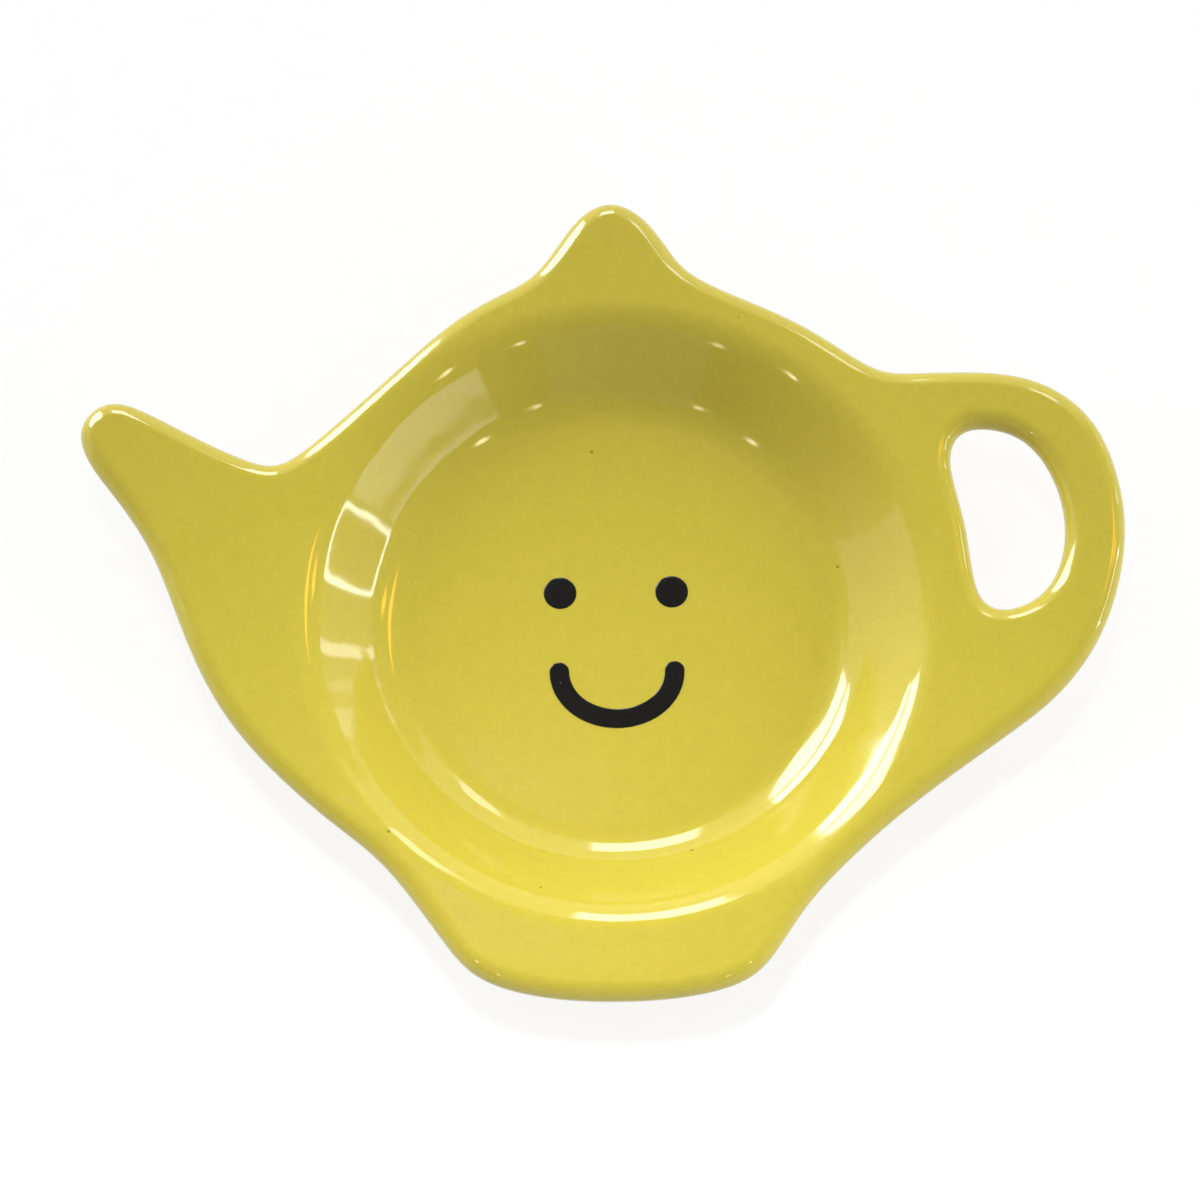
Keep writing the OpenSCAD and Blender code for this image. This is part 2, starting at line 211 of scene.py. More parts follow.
def glaze_column(place, inward, out, far_edge, near_edge, coat):
    """One column of points, from the middle of the floor to the foot ring. Beside the finger hole it
    has a row at each edge of the hole, and elsewhere two rows across the rim."""
    flat = place + inward * EDGE_R
    first = flat if near_edge is None else near_edge
    reach = NARROW_SHARE * np.linalg.norm(first)
    lip, outer_lip = min(LIP_R, reach), min(OUTER_LIP_R, reach)
    rim = ([out * lip + (flat - out * lip) * s for s in RIM_ROW_SHARES] if near_edge is None
           else [near_edge, far_edge])
    rows = [(out * r, 1) for r in FLOOR_RINGS]
    rows += [(out * (FLOOR_R + (lip - FLOOR_R) * s), 1) for s in WALL_ROW_SHARES]
    rows += [(p, 1) for p in rim]
    for a in np.linspace(math.pi / 2, -math.pi / 2, ROUNDING_STEPS + 1):
        rows.append((rounded_plan(place, inward, a, coat), math.sin(a)))
    rows += [(p, -1) for p in rim[::-1]]
    rows += [(out * r, -1) for r in np.linspace(outer_lip, OUTER_FLOOR_R, OUTER_WALL_STEPS + 1)]
    rows.append((out * (FOOT_R + FOOT_GAP), -1))
    return [clay_point(p, k, coat) for p, k in rows]


def glaze_skin(coat):
    """One side of the glaze, which lies that deep under its outer surface: its points, its faces, and
    the points along its lower end."""
    counts = np.arange(COLUMNS) / COLUMNS_PER_POINT
    places, inwards = edge_places(OUTLINE, counts)
    hole_counts = np.concatenate([np.linspace(0, NEAR_SIDE_END, HOLE_CELLS + 1),
                                  np.linspace(*FAR_SIDE_ENDS, HOLE_CELLS + 1)])
    hole_places, hole_inwards = edge_places(HOLE, hole_counts)
    hole_starts = hole_places + hole_inwards * EDGE_R
    roots = column_roots()
    points = []
    for i in range(COLUMNS):
        k, share = divmod(i, COLUMNS_PER_POINT)
        a, b = roots[k], roots[(k + 1) % len(roots)]
        angle = a + turn_between(a, b) * share / COLUMNS_PER_POINT
        out = np.array([math.cos(angle), math.sin(angle)])
        w = i - FIRST_HOLE_COLUMN
        beside = 0 <= w <= HOLE_CELLS
        near, far = (hole_starts[w], hole_starts[HOLE_PLACES - 1 - w]) if beside else (None, None)
        points += glaze_column(places[i], inwards[i], out, far, near, coat)

    def at(i, j):
        return (i % COLUMNS) * ROWS + j

    def in_hole(i, j):
        return 0 <= i - FIRST_HOLE_COLUMN < HOLE_CELLS and j in (NEAR_ROW, LOWER_FAR_ROW)

    middle = len(points)
    points.append(clay_point((0, 0), 1, coat))
    faces = [(middle, at(i, 0), at(i + 1, 0)) for i in range(COLUMNS)]
    faces += [(at(i, j), at(i, j + 1), at(i + 1, j + 1), at(i + 1, j))
              for i in range(COLUMNS) for j in range(ROWS - 1) if not in_hole(i, j)]

    # The finger hole's rounded edge, from the upper face's points to the lower face's
    rows = []
    for k in range(ROUNDING_STEPS + 1):
        row = []
        for m in range(HOLE_PLACES):
            near = m <= HOLE_CELLS
            i = FIRST_HOLE_COLUMN + (m if near else HOLE_PLACES - 1 - m)
            if k == 0:
                row.append(at(i, NEAR_ROW if near else FAR_ROW))
            elif k == ROUNDING_STEPS:
                row.append(at(i, LOWER_NEAR_ROW if near else LOWER_FAR_ROW))
            else:
                a = math.pi * (0.5 - k / ROUNDING_STEPS)
                row.append(len(points))
                plan = rounded_plan(hole_places[m], hole_inwards[m], a, coat)
                points.append(clay_point(plan, math.sin(a), coat))
        rows.append(row)
    for upper, lower in zip(rows, rows[1:]):
        faces += [(upper[m], lower[m], lower[(m + 1) % HOLE_PLACES], upper[(m + 1) % HOLE_PLACES])
                  for m in range(HOLE_PLACES)]
    return points, faces, [at(i, ROWS - 1) for i in range(COLUMNS)]


def put_in_scene(name, data):
    """A new object in the scene, which shows a mesh, a lamp or a camera."""
    thing = bpy.data.objects.new(name, data)
    bpy.context.scene.collection.objects.link(thing)
    return thing


def mesh_piece(name, points, faces, material, stands_for):
    """A smooth mesh of points in millimetres, which rides on the dish."""
    mesh = bpy.data.meshes.new(name)
    mesh.from_pydata([tuple(c * MM for c in p) for p in points], [], faces)
    mesh.validate()
    mesh.shade_smooth()
    mesh.materials.append(material)
    piece = put_in_scene(name, mesh)
    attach(piece, "root")
    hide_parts(stands_for)
    return piece


def even_shading(piece):
    """Lets the large flat faces beside a rounding stay flat in the light."""
    weigh = piece.modifiers.new("even_shading", "WEIGHTED_NORMAL")
    weigh.mode = "FACE_AREA"


TURN_SEGMENTS = 192


def turned_piece(name, profile, material, stands_for):
    """A piece turned about the well's axis. A profile point with no radius closes it there."""
    points, faces, rows = [], [], []
    for r, z in profile:
        if r == 0:
            rows.append([len(points)] * TURN_SEGMENTS)
            points.append((0, 0, z))
        else:
            rows.append(list(range(len(points), len(points) + TURN_SEGMENTS)))
            turns = (2 * math.pi * s / TURN_SEGMENTS for s in range(TURN_SEGMENTS))
            points += [(r * math.cos(t), r * math.sin(t), z) for t in turns]
    closing = [] if profile[0][0] == 0 else [(rows[-1], rows[0])]
    for a, b in list(zip(rows, rows[1:])) + closing:
        for s in range(TURN_SEGMENTS):
            n = (s + 1) % TURN_SEGMENTS
            faces.append(tuple(dict.fromkeys([a[s], a[n], b[n], b[s]])))
    return mesh_piece(name, points, faces, material, stands_for)


# Materials

def linear(hex_colour):
    """An sRGB hex colour as linear red, green, blue and alpha."""
    parts = [int(hex_colour[i:i + 2], 16) / 255 for i in (1, 3, 5)]
    return tuple(c / 12.92 if c <= 0.04045 else ((c + 0.055) / 1.055) ** 2.4 for c in parts) + (1.0,)


def add(tree, kind, settings=None, **links):
    """Adds a node. Settings are its own properties, or values of its inputs by name or number. Links are
    outputs to plug in, by an input's name with _ for a space, or by i and its number."""
    node = tree.nodes.new(kind)
    for key, value in (settings or {}).items():
        if isinstance(key, int) or key in node.inputs:
            node.inputs[key].default_value = value
        else:
            setattr(node, key, value)
    for key, source in links.items():
        place = int(key[1:]) if key[0] == "i" and key[1:].isdigit() else key.replace("_", " ")
        tree.links.new(source, node.inputs[place])
    return node


def new_material(name):
    """An empty material, its node tree and its output node."""
    material = bpy.data.materials.new(name)
    material.use_nodes = True
    tree = material.node_tree
    tree.nodes.clear()
    return material, tree, tree.nodes.new("ShaderNodeOutputMaterial")


def per_metre(size_mm):
    """The scale of a noise or cell pattern whose features are this many millimetres across."""
    return 1 / (size_mm * MM)


# How far across the glaze's clouds, mottling, orange peel and grain are, and how deep the last two stand
CLOUD_SIZE, MOTTLE_SIZE = 26.0, 1.1
PEEL_SIZE, PEEL_DEPTH = 5.0, 0.035
GRAIN_SIZE, GRAIN_DEPTH = 0.8, 0.0015
# One cell in ten holds an iron speck, at most this share of a cell in radius and this strong
SPECK_CELL = 3.0
SPECK_CHANCE = 0.1
SPECK_SHARE = 0.08
SPECK_STRENGTH = 0.55


def glaze_material():
    """Opaque yellow earthenware glaze, dipped and fired glossy: an even, deep colour with faint clouds
    and mottling, a mirror-like skin with a faint orange peel, and a few tiny iron specks."""
    material, tree, out = new_material("dipped_yellow_glaze")
    place = add(tree, "ShaderNodeTexCoord").outputs["Object"]

    clouds = add(tree, "ShaderNodeTexNoise", {"Scale": per_metre(CLOUD_SIZE), "Detail": 3.0}, Vector=place)
    mottle = add(tree, "ShaderNodeTexNoise",
                 {"Scale": per_metre(MOTTLE_SIZE), "Detail": 4.0, "Roughness": 0.6}, Vector=place)
    tone = add(tree, "ShaderNodeMix", {"data_type": "RGBA", 6: linear("#cfbf45"), 7: linear("#cbbb40")},
               i0=clouds.outputs["Fac"])
    fine = add(tree, "ShaderNodeMapRange",
               {"From Min": 0.35, "From Max": 0.65, "To Min": 0.975, "To Max": 1.025},
               Value=mottle.outputs["Fac"])
    toned = add(tree, "ShaderNodeVectorMath", {"operation": "SCALE"},
                i0=tone.outputs[2], Scale=fine.outputs[0])

    cells = add(tree, "ShaderNodeTexVoronoi", {"Scale": per_metre(SPECK_CELL), "Randomness": 1.0},
                Vector=place)
    chance = add(tree, "ShaderNodeSeparateColor", {}, Color=cells.outputs["Color"])
    size = add(tree, "ShaderNodeMapRange",
               {"From Min": 1 - SPECK_CHANCE, "From Max": 1.0, "To Min": 0.0, "To Max": SPECK_SHARE},
               Value=chance.outputs["Red"])
    speck = add(tree, "ShaderNodeMath", {"operation": "LESS_THAN"},
                i0=cells.outputs["Distance"], i1=size.outputs[0])
    soft = add(tree, "ShaderNodeMath", {"operation": "MULTIPLY", 1: SPECK_STRENGTH}, i0=speck.outputs[0])
    colour = add(tree, "ShaderNodeMix", {"data_type": "RGBA", 7: linear("#5e4f1c")},
                 i0=soft.outputs[0], i6=toned.outputs[0])

    peel = add(tree, "ShaderNodeTexNoise", {"Scale": per_metre(PEEL_SIZE), "Detail": 1.0}, Vector=place)
    grain = add(tree, "ShaderNodeTexNoise", {"Scale": per_metre(GRAIN_SIZE), "Detail": 2.0}, Vector=place)
    waves = add(tree, "ShaderNodeBump", {"Strength": 1.0, "Distance": PEEL_DEPTH * MM},
                Height=peel.outputs["Fac"])
    skin = add(tree, "ShaderNodeBump", {"Strength": 1.0, "Distance": GRAIN_DEPTH * MM},
               Height=grain.outputs["Fac"], Normal=waves.outputs[0])
    gloss = add(tree, "ShaderNodeMapRange",
                {"From Min": 0.3, "From Max": 0.7, "To Min": 0.05, "To Max": 0.09},
                Value=clouds.outputs["Fac"])
    shader = add(tree, "ShaderNodeBsdfPrincipled", {"IOR": 1.52},
                 Base_Color=colour.outputs[2], Roughness=gloss.outputs[0], Normal=skin.outputs[0])
    tree.links.new(shader.outputs[0], out.inputs["Surface"])
    return material


# The clay's faint clouds, the fine grog in it, how far the grog stands out and how much it roughens
CLAY_CLOUD_SIZE = 9.0
GROG_SIZE, GROG_DEPTH = 0.35, 0.03
GROG_ROUGHENS = 0.12


def clay_material(name, colour, shade, roughness):
    """Biscuit-fired earthenware: a pale matt body with fine grog in it, rubbed smoother on the foot."""
    material, tree, out = new_material(name)
    place = add(tree, "ShaderNodeTexCoord").outputs["Object"]
    clouds = add(tree, "ShaderNodeTexNoise", {"Scale": per_metre(CLAY_CLOUD_SIZE), "Detail": 4.0},
                 Vector=place)
    grog = add(tree, "ShaderNodeTexNoise", {"Scale": per_metre(GROG_SIZE), "Detail": 3.0}, Vector=place)
    tone = add(tree, "ShaderNodeMix", {"data_type": "RGBA", 6: linear(colour), 7: linear(shade)},
               i0=clouds.outputs["Fac"])
    fine = add(tree, "ShaderNodeMapRange",
               {"From Min": 0.3, "From Max": 0.7, "To Min": 0.93, "To Max": 1.05},
               Value=grog.outputs["Fac"])
    toned = add(tree, "ShaderNodeVectorMath", {"operation": "SCALE"},
                i0=tone.outputs[2], Scale=fine.outputs[0])
    tooth = add(tree, "ShaderNodeBump", {"Strength": 1.0, "Distance": GROG_DEPTH * MM},
                Height=grog.outputs["Fac"])
    rough = add(tree, "ShaderNodeMapRange", {"To Min": roughness, "To Max": roughness + GROG_ROUGHENS},
                Value=grog.outputs["Fac"])
    shader = add(tree, "ShaderNodeBsdfPrincipled", {"IOR": 1.5},
                 Base_Color=toned.outputs[0], Roughness=rough.outputs[0], Normal=tooth.outputs[0])
    tree.links.new(shader.outputs[0], out.inputs["Surface"])
    return material


# One cell in five of the print holds a pinhole, at most this share of a cell in radius. The glaze shows
# through it by half.
PINHOLE_CELL = 0.75
PINHOLE_CHANCE = 0.2
PINHOLE_SHARE = 0.14
PINHOLE_STRENGTH = 0.5
PINHOLE_DEPTH = 0.02
INK_CLOUD_SIZE = 2.5


def print_material():
    """A black transfer print fired on the glaze: glossy and nearly black, with stray pinholes in which
    the glaze shows through."""
    material, tree, out = new_material("fired_black_print")
    place = add(tree, "ShaderNodeTexCoord").outputs["Object"]

    cells = add(tree, "ShaderNodeTexVoronoi", {"Scale": per_metre(PINHOLE_CELL), "Randomness": 1.0},
                Vector=place)
    chance = add(tree, "ShaderNodeSeparateColor", {}, Color=cells.outputs["Color"])
    size = add(tree, "ShaderNodeMapRange",
               {"From Min": 1 - PINHOLE_CHANCE, "From Max": 1.0, "To Min": 0.0, "To Max": PINHOLE_SHARE},
               Value=chance.outputs["Red"])
    hole = add(tree, "ShaderNodeMath", {"operation": "LESS_THAN"},
               i0=cells.outputs["Distance"], i1=size.outputs[0])
    dim = add(tree, "ShaderNodeMath", {"operation": "MULTIPLY", 1: PINHOLE_STRENGTH}, i0=hole.outputs[0])
    dimple = add(tree, "ShaderNodeBump", {"Strength": 0.6, "Distance": PINHOLE_DEPTH * MM, "invert": True},
                 Height=hole.outputs[0])

    ink = add(tree, "ShaderNodeTexNoise", {"Scale": per_metre(INK_CLOUD_SIZE), "Detail": 2.0}, Vector=place)
    black = add(tree, "ShaderNodeMix", {"data_type": "RGBA", 6: linear("#12110e"), 7: linear("#191815")},
                i0=ink.outputs["Fac"])
    colour = add(tree, "ShaderNodeMix", {"data_type": "RGBA", 7: linear("#8d8152")},
                 i0=dim.outputs[0], i6=black.outputs[2])
    gloss = add(tree, "ShaderNodeMapRange", {"To Min": 0.10, "To Max": 0.2}, Value=ink.outputs["Fac"])
    shader = add(tree, "ShaderNodeBsdfPrincipled", {"IOR": 1.5},
                 Base_Color=colour.outputs[2], Roughness=gloss.outputs[0], Normal=dimple.outputs[0])
    tree.links.new(shader.outputs[0], out.inputs["Surface"])
    return material


YELLOW_GLAZE = glaze_material()
BISCUIT_CLAY = clay_material("biscuit_fired_clay", "#e6d9bf", "#dccdaf", 0.80)
BARE_FOOT = clay_material("rubbed_bare_clay", "#e2d3b6", "#cdbb98", 0.62)
BLACK_PRINT = print_material()


# The dish

def glaze_coat():
    """The glaze over the well, the rim and the outside down to the foot ring: an outer skin, an inner
    one and the strip that joins them at the lower end."""
    outer, outer_faces, outer_end = glaze_skin(0)
    inner, inner_faces, _ = glaze_skin(GLAZE_T)
    shift = len(outer)
    lower_edge = [(a, b, b + shift, a + shift) for a, b in zip(outer_end[1:] + outer_end[:1], outer_end)]
    faces = [tuple(f[::-1]) for f in outer_faces]
    faces += [tuple(c + shift for c in f) for f in inner_faces]
    faces += [tuple(f[::-1]) for f in lower_edge]
    coat = mesh_piece("yellow_glaze_coat", outer + inner, faces, YELLOW_GLAZE, "glaze_coat")
    even_shading(coat)


CORNER_STEPS = 5


def rounded_corner(r, side):
    """The rubbed lower corner of the ring at radius r: side is 1 outside and -1 inside."""
    turns = [math.pi / 2 * s / CORNER_STEPS for s in range(CORNER_STEPS + 1)]
    return [(r - side * FOOT_BEVEL * (1 - math.sin(t)), FOOT_BEVEL * (1 - math.cos(t))) for t in turns]


def foot_ring():
    """The bare ring that the dish stands on, up to the clay."""
    top = FOOT_H + GLAZE_T
    profile = [(FOOT_INNER_R, top)] + rounded_corner(FOOT_INNER_R, -1)[::-1]
    profile += rounded_corner(FOOT_R, 1) + [(FOOT_R, top)]
    even_shading(turned_piece("bare_foot_ring", profile, BARE_FOOT, "foot_ring"))


RECESS_RING_SHARES = (0.25, 0.5, 0.75, 0.94)


def recess_glaze():
    """The glaze on the underside that the ring encloses, with a rounded outer edge."""
    profile = [(0, FOOT_H)] + [(RECESS_R * s, FOOT_H) for s in RECESS_RING_SHARES]
    profile += [(RECESS_R - GLAZE_T * (1 - math.sin(t)), FOOT_H + GLAZE_T * (1 - math.cos(t)))
                for t in np.linspace(0, math.pi / 2, CORNER_STEPS + 1)]
    profile += [(0, FOOT_H + GLAZE_T)]
    even_shading(turned_piece("recess_glaze", profile, YELLOW_GLAZE, "foot_recess_glaze"))


def clay_body():
    """The clay under the glaze stays as the solid has it."""
    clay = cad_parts["clay_body"]
    clay.data.materials.clear()
    clay.data.materials.append(BISCUIT_CLAY)


glaze_coat()
foot_ring()
recess_glaze()
clay_body()


# The printed face: a thin skin of colour with soft edges, flat on the floor. Its profile has shares of
# the way out from the middle, and of the print's thickness.
PRINT_EDGE = [(1.0, 0.0), (0.985, 0.55), (0.95, 0.9), (0.88, 1.0)]
EYE_INNER_SHARE, SMILE_INNER_SHARE = 0.5, 0.45
EYE_SEGMENTS = 72
SMILE_STEPS, END_STEPS = 96, 24


def turned(x, y, t):
    return (x * math.cos(t) - y * math.sin(t), x * math.sin(t) + y * math.cos(t))


def on_floor(x, y, lift):
    """A place of the print, turned with the face: lift is 0 on the floor and 1 on the print's upper side."""
    return turned(x, y, math.radians(FACE_TURN)) + (FLOOR_Z + PRINT_T * lift,)


def printed_eye(name, side, stands_for):
    """A round dot: side is -1 on the left and 1 on the right."""
    x, y = side * EYE_GAP / 2, EYE_Y
    rings = [(EYE_INNER_SHARE, 0.0)] + PRINT_EDGE + [(EYE_INNER_SHARE, 1.0)]
    points = [on_floor(x, y, 0.0)]
    for share, lift in rings:
        for s in range(EYE_SEGMENTS):
            t = 2 * math.pi * s / EYE_SEGMENTS
            points.append(on_floor(x + share * EYE_D / 2 * math.cos(t), y + share * EYE_D / 2 * math.sin(t),
                                   lift))
    top = len(points)
    last = top - EYE_SEGMENTS
    points.append(on_floor(x, y, 1.0))
    faces = []
    for s in range(EYE_SEGMENTS):
        n = (s + 1) % EYE_SEGMENTS
        faces.append((0, 1 + n, 1 + s))
        for a in range(1, last, EYE_SEGMENTS):
            b = a + EYE_SEGMENTS
            faces.append((a + s, a + n, b + n, b + s))
        faces.append((last + s, last + n, top))
    mesh_piece(name, points, faces, BLACK_PRINT, stands_for)


def round_end(end, side):
    """Stations half round an end of the smile's line, from one side of it to the other."""
    return [(end, np.array(turned(*side, math.pi * s / END_STEPS))) for s in range(1, END_STEPS)]


def printed_smile():
    """Half an oval line with round ends. Each station is a place on the line and a way out from it, and
    they run along the outer side, round the right end, back along the inner side and round the left one."""
    line, sides = [], []
    for s in range(SMILE_STEPS + 1):
        a = math.pi + math.pi * s / SMILE_STEPS
        across = np.array([SMILE_DROP * math.cos(a), SMILE_R * math.sin(a)])
        line.append(np.array([SMILE_R * math.cos(a), SMILE_DROP * math.sin(a) - SMILE_Y]))
        sides.append(across / np.linalg.norm(across))
    stations = list(zip(line, sides)) + round_end(line[-1], sides[-1])
    stations += [(c, -d) for c, d in zip(line[::-1], sides[::-1])] + round_end(line[0], -sides[0])
    n = len(stations)

    profile = PRINT_EDGE + [(SMILE_INNER_SHARE, 1.0)]
    points = []
    for share, lift in profile:
        points += [on_floor(*(c + d * share * SMILE_W / 2), lift) for c, d in stations]
    spine = len(points)
    points += [on_floor(*c, 1.0) for c in line]
    under = len(points)
    points += [on_floor(*c, 0.0) for c in line]

    # The place on the line that each station belongs to
    facing = list(range(SMILE_STEPS + 1)) + [SMILE_STEPS] * (END_STEPS - 1)
    facing += list(range(SMILE_STEPS, -1, -1)) + [0] * (END_STEPS - 1)
    last = (len(profile) - 1) * n
    faces = []
    for s in range(n):
        e = (s + 1) % n
        faces += [(k + s, k + e, k + n + e, k + n + s) for k in range(0, last, n)]
        top = (last + s, last + e, spine + facing[e], spine + facing[s])
        low = (s, under + facing[s], under + facing[e], e)
        faces += [tuple(dict.fromkeys(top)), tuple(dict.fromkeys(low))]
    mesh_piece("printed_smile", points, faces, BLACK_PRINT, "smile")


printed_eye("printed_left_eye", -1, "left_eye")
printed_eye("printed_right_eye", 1, "right_eye")
printed_smile()


# The studio: a white board, panes that the glaze mirrors, a glowing room, a soft spot and the camera

def light_path_seen(tree):
    """1 where a floor or backdrop is seen straight or in a gloss, 0 where it only lights other things."""
    rays = add(tree, "ShaderNodeLightPath").outputs
    seen = add(tree, "ShaderNodeMath", {"operation": "MAXIMUM"},
               i0=rays["Is Camera Ray"], i1=rays["Is Glossy Ray"])
    return add(tree, "ShaderNodeMath", {"operation": "MAXIMUM"},
               i0=seen.outputs[0], i1=rays["Is Transmission Ray"]).outputs[0]


# How much the board glows where it is seen, where it only lights the dish, and how matt and cloudy it is
BOARD_SEEN_GLOW, BOARD_UNSEEN_GLOW = 0.82, 0.3
BOARD_ROUGHNESS = 0.9
BOARD_CLOUD_SIZE = 4.0


def board_material():
    """A matt white board, which glows a little so that only a faint shadow lies on it, and bounces part
    of its light back on the dish."""
    material, tree, out = new_material("matt_white_board")
    place = add(tree, "ShaderNodeTexCoord").outputs["Object"]
    clouds = add(tree, "ShaderNodeTexNoise", {"Scale": per_metre(BOARD_CLOUD_SIZE), "Detail": 3.0},
                 Vector=place)
    white = add(tree, "ShaderNodeMix", {"data_type": "RGBA", 6: linear("#7d7d7d"), 7: linear("#838383")},
                i0=clouds.outputs["Fac"])
    plain = {"Roughness": BOARD_ROUGHNESS, "Specular IOR Level": 0.0, "Emission Color": linear("#ffffff")}
    seen = add(tree, "ShaderNodeBsdfPrincipled", plain | {"Emission Strength": BOARD_SEEN_GLOW},
               Base_Color=white.outputs[2])
    unseen = add(tree, "ShaderNodeBsdfPrincipled",
                 plain | {"Emission Strength": BOARD_UNSEEN_GLOW, "Base Color": linear("#b9b9b9")})
    mix = add(tree, "ShaderNodeMixShader", {},
              i0=light_path_seen(tree), i1=unseen.outputs[0], i2=seen.outputs[0])
    tree.links.new(mix.outputs[0], out.inputs["Surface"])
    return material


BOARD_HALF = 1500.0
# The board lies this far under the foot ring, so that their faces aren't in one plane
BOARD_DROP = 0.02


def lay_the_board():
    mesh = bpy.data.meshes.new("floor")
    mesh.from_pydata([(x * BOARD_HALF * MM, y * BOARD_HALF * MM, -BOARD_DROP * MM)
                      for x, y in ((-1, -1), (1, -1), (1, 1), (-1, 1))], [], [(0, 1, 2, 3)])
    mesh.materials.append(board_material())
    put_in_scene("floor", mesh)


lay_the_board()


# What the glaze mirrors. Places are bearings, which run from +Y towards +X, and elevations, in degrees.
# A strength of 1 is white. Panes and lamps are flat, by their corners.
PANE_FAR, WALL_FAR = 1300.0, 1500.0
PANES = {
    "tall_window": ([(-60, 16), (-50, 3), (-40, -4), (-32, -5), (-30.5, 17), (-60, 19)], "#ffffff", 16.0),
    "upper_window": ([(-60, 22), (-30.5, 20), (-30, 30), (-31, 42), (-34, 53), (-45, 40), (-60, 36)],
                     "#ffffff", 16.0),
    "middle_window": ([(-14, 27), (5, 26), (5, 47), (-13, 49)], "#ffffff", 12.0),
    "far_window": ([(20, 38), (29, 35), (30, 44), (27, 55), (21, 51)], "#ffffff", 7.0),
    "side_window": ([(50, -4), (55, -4), (56, 9), (51, 11)], "#ffffff", 2.5),
    "second_side_window": ([(59, -2), (61, -2), (62, 11), (60, 12)], "#ffffff", 2.0),
    "narrow_window": ([(66, 2), (69, 3), (70, 12), (67, 13)], "#ffffff", 6.0),
    "long_lamp": ([(58, 41), (72, 42), (86, 49), (72, 50)], "#ffa63c", 16.0),
    "short_lamp": ([(74, 30), (78, 28), (83, 33), (78, 36)], "#ffa63c", 16.0),
    "left_ceiling_lamp": ([(132, 37), (135, 37), (135, 44), (132, 44)], "#fff0c8", 16.0),
    "left_back_lamp": ([(153, 29), (156, 29), (156, 34), (153, 34)], "#fff0c8", 12.0),
    "right_ceiling_lamp": ([(-135, 37), (-132, 37), (-132, 44), (-135, 44)], "#fff0c8", 16.0),
    "right_back_lamp": ([(-155, 29), (-152, 29), (-152, 34), (-155, 34)], "#fff0c8", 12.0),
}
# Pale walls curve round the dish: bearings with the elevations of their lower and upper edge, a strength
WALLS = {
    "window_wall": ([(-66, -4, 50), (42, -4, 50)], 1.0),
    "left_wall": ([(-96, 0, 34), (-66, 0, 34)], 1.0),
    "right_wall": ([(101, 13.4, 16.2), (107, 14.6, 17.4), (115, 16.1, 19.0), (124, 17.6, 20.6),
                    (134, 19.1, 22.2), (143, 20.2, 23.3)], 2.4),
    "back_wall": ([(160, 12, 40), (204, 12, 40)], 0.5),
}
WALL_STEP = 4.0
# A lit arch, by its outer points. Its inner ones lie this share of the way out from its middle.
ARCH_OUTER = [(81, -2), (81, 10), (82, 13), (85, 15.5), (90, 17), (95, 18), (98, 17.5), (99, 15), (99, -2)]
ARCH_MIDDLE = (90, 0)
ARCH_SHARE = 0.86
ARCH_STRENGTH = 14.0


def seen_at(bearing, elevation, distance):
    """The place in millimetres that the rim sees at a bearing and an elevation."""
    b, e = math.radians(bearing), math.radians(elevation)
    return (distance * math.cos(e) * math.sin(b), distance * math.cos(e) * math.cos(b),
            RIM_Z + distance * math.sin(e))


def glowing_sheet(name, places, faces, colour, strength, distance):
    """A thin sheet that only a gloss sees, through places given by bearing and elevation."""
    mesh = bpy.data.meshes.new(name)
    mesh.from_pydata([tuple(c * MM for c in seen_at(*p, distance)) for p in places], [], faces)
    material, tree, out = new_material(name + "_glow")
    glow = add(tree, "ShaderNodeEmission", {"Color": linear(colour), "Strength": strength})
    tree.links.new(glow.outputs[0], out.inputs["Surface"])
    mesh.materials.append(material)
    sheet = put_in_scene(name, mesh)
    sheet.visible_camera = False
    sheet.visible_diffuse = False


def between_rows(first, second):
    """The places and faces of a strip between two rows of as many places."""
    n = len(first)
    return first + second, [(s, s + 1, s + 1 + n, s + n) for s in range(n - 1)]


def hang_the_panes():
    for name, (corners, colour, strength) in PANES.items():
        glowing_sheet(name, corners, [tuple(range(len(corners)))], colour, strength, PANE_FAR)


def stand_the_walls():
    for name, (stations, strength) in WALLS.items():
        at, lows, highs = zip(*stations)
        bearings = np.linspace(at[0], at[-1], 1 + round((at[-1] - at[0]) / WALL_STEP))
        low_row, high_row = (list(zip(bearings, np.interp(bearings, at, e))) for e in (lows, highs))
        glowing_sheet(name, *between_rows(low_row, high_row), "#ffffff", strength, WALL_FAR)


def stand_the_arch():
    inside = [tuple(m + (c - m) * ARCH_SHARE for m, c in zip(ARCH_MIDDLE, corner)) for corner in ARCH_OUTER]
    glowing_sheet("lit_arch", *between_rows(ARCH_OUTER, inside), "#ffffff", ARCH_STRENGTH, PANE_FAR)


hang_the_panes()
stand_the_walls()
stand_the_arch()


# How brightly the room glows towards a side, which lights the glaze's colour but isn't mirrored
ROOM = [((-0.77, 0.64, 0), 4.0), ((1, 0, 0), 2.8), ((0, 0, 1), 0.12)]
# The mirrored backdrop is white up to the first height, as the Z of a direction, and dims up to the second
BACKDROP_HEIGHTS = (0.05, 0.3)
CEILING_LEVEL = 0.2


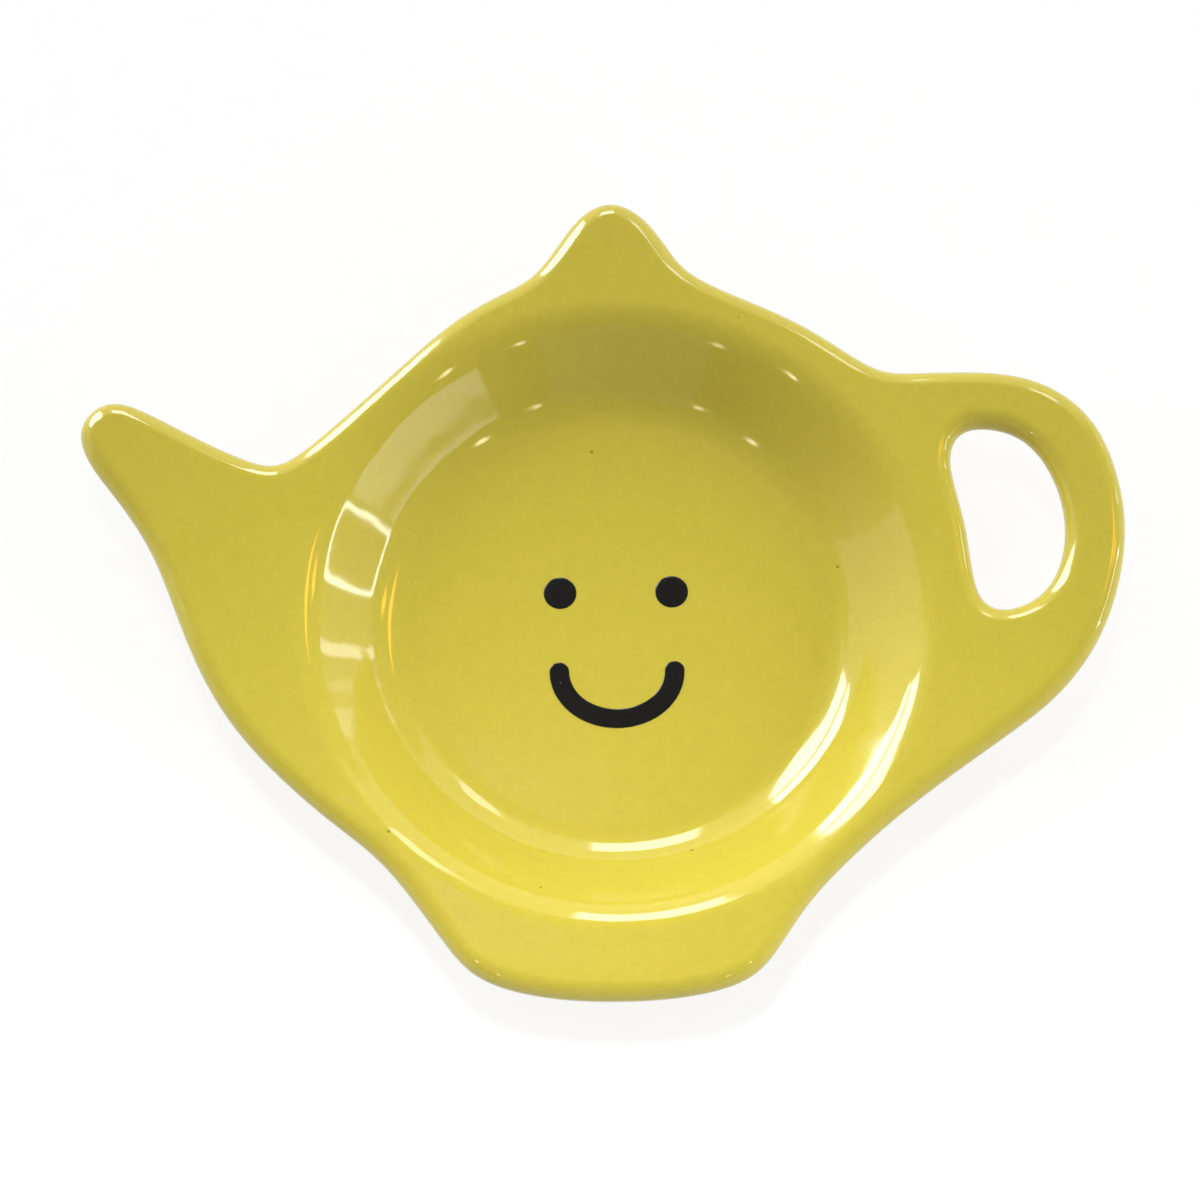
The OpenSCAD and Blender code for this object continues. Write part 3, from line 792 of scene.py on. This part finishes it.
def light_the_room():
    """A room that glows towards its sides and lights the dish. The camera sees a white backdrop all
    round, and a gloss mirrors it as high as it stands, with a dim ceiling above it."""
    world = bpy.data.worlds.new("room")
    bpy.context.scene.world = world
    world.use_nodes = True
    tree = world.node_tree
    tree.nodes.clear()
    direction = add(tree, "ShaderNodeTexCoord").outputs["Generated"]
    level = add(tree, "ShaderNodeValue").outputs[0]
    level.default_value = 0.0
    for side, strength in ROOM:
        facing = add(tree, "ShaderNodeVectorMath", {"operation": "DOT_PRODUCT", 1: side}, i0=direction)
        ahead = add(tree, "ShaderNodeMath", {"operation": "MAXIMUM", 1: 0.0}, i0=facing.outputs["Value"])
        share = add(tree, "ShaderNodeMath", {"operation": "MULTIPLY"},
                    i0=ahead.outputs[0], i1=ahead.outputs[0])
        level = add(tree, "ShaderNodeMath", {"operation": "MULTIPLY_ADD", 1: strength},
                    i0=share.outputs[0], i2=level).outputs[0]
    room = add(tree, "ShaderNodeBackground", {"Color": linear("#ffffff")}, Strength=level)

    height = add(tree, "ShaderNodeSeparateXYZ", {}, i0=direction).outputs["Z"]
    low = add(tree, "ShaderNodeMapRange",
              {"From Min": BACKDROP_HEIGHTS[0], "From Max": BACKDROP_HEIGHTS[1],
               "To Min": 1.0, "To Max": CEILING_LEVEL}, Value=height)
    camera_ray = add(tree, "ShaderNodeLightPath").outputs["Is Camera Ray"]
    seen = add(tree, "ShaderNodeMath", {"operation": "MAXIMUM"}, i0=low.outputs[0], i1=camera_ray)
    backdrop = add(tree, "ShaderNodeBackground", {"Color": linear("#ffffff")}, Strength=seen.outputs[0])
    mix = add(tree, "ShaderNodeMixShader", {},
              i0=light_path_seen(tree), i1=room.outputs[0], i2=backdrop.outputs[0])
    out = add(tree, "ShaderNodeOutputWorld")
    tree.links.new(mix.outputs[0], out.inputs["Surface"])


def look_along(thing, direction):
    """Turns a lamp or a camera to look along a direction."""
    thing.rotation_mode = "QUATERNION"
    thing.rotation_quaternion = direction.to_track_quat("-Z", "Y")


# A soft spot high above the dish, whose pool of light is brightest in front of the base
SPOT_WATTS = 13.2
SPOT_AIM = (0.0, -80.0, 10.0)
SPOT_PLACE = (-36.0, 124.0, 783.0)
SPOT_RADIUS = 50.0
SPOT_WIDTH = 18.0


def hang_the_spot():
    """The spot's pool falls off softly, so that the dish gets brighter towards the front."""
    data = bpy.data.lights.new("soft_spot", "SPOT")
    data.energy = SPOT_WATTS
    data.shadow_soft_size = SPOT_RADIUS * MM
    data.spot_size = math.radians(SPOT_WIDTH)
    data.spot_blend = 1.0
    spot = put_in_scene("soft_spot", data)
    spot.location = Vector(SPOT_PLACE) * MM
    look_along(spot, Vector(SPOT_AIM) - Vector(SPOT_PLACE))
    spot.visible_glossy = False


# The camera looks along +Y and down, from the front of the table. Its range is in metres.
CAMERA_ELEVATION = 75.0
CAMERA_DISTANCE = 600.0
CAMERA_AIM = (-2.0, 1.2, RIM_Z)
CAMERA_LENS = 150.0
SENSOR_WIDTH = 36.0
CAMERA_RANGE = (0.05, 10.0)


def place_camera():
    tilt = math.radians(CAMERA_ELEVATION)
    back = Vector((0, -math.cos(tilt), math.sin(tilt)))
    data = bpy.data.cameras.new("camera")
    data.lens = CAMERA_LENS
    data.sensor_width = SENSOR_WIDTH
    data.clip_start, data.clip_end = CAMERA_RANGE
    camera = put_in_scene("camera", data)
    camera.location = Vector(CAMERA_AIM) * MM + back * CAMERA_DISTANCE * MM
    look_along(camera, -back)
    bpy.context.scene.camera = camera


light_the_room()
hang_the_spot()
place_camera()
bpy.context.scene.view_settings.view_transform = "Standard"
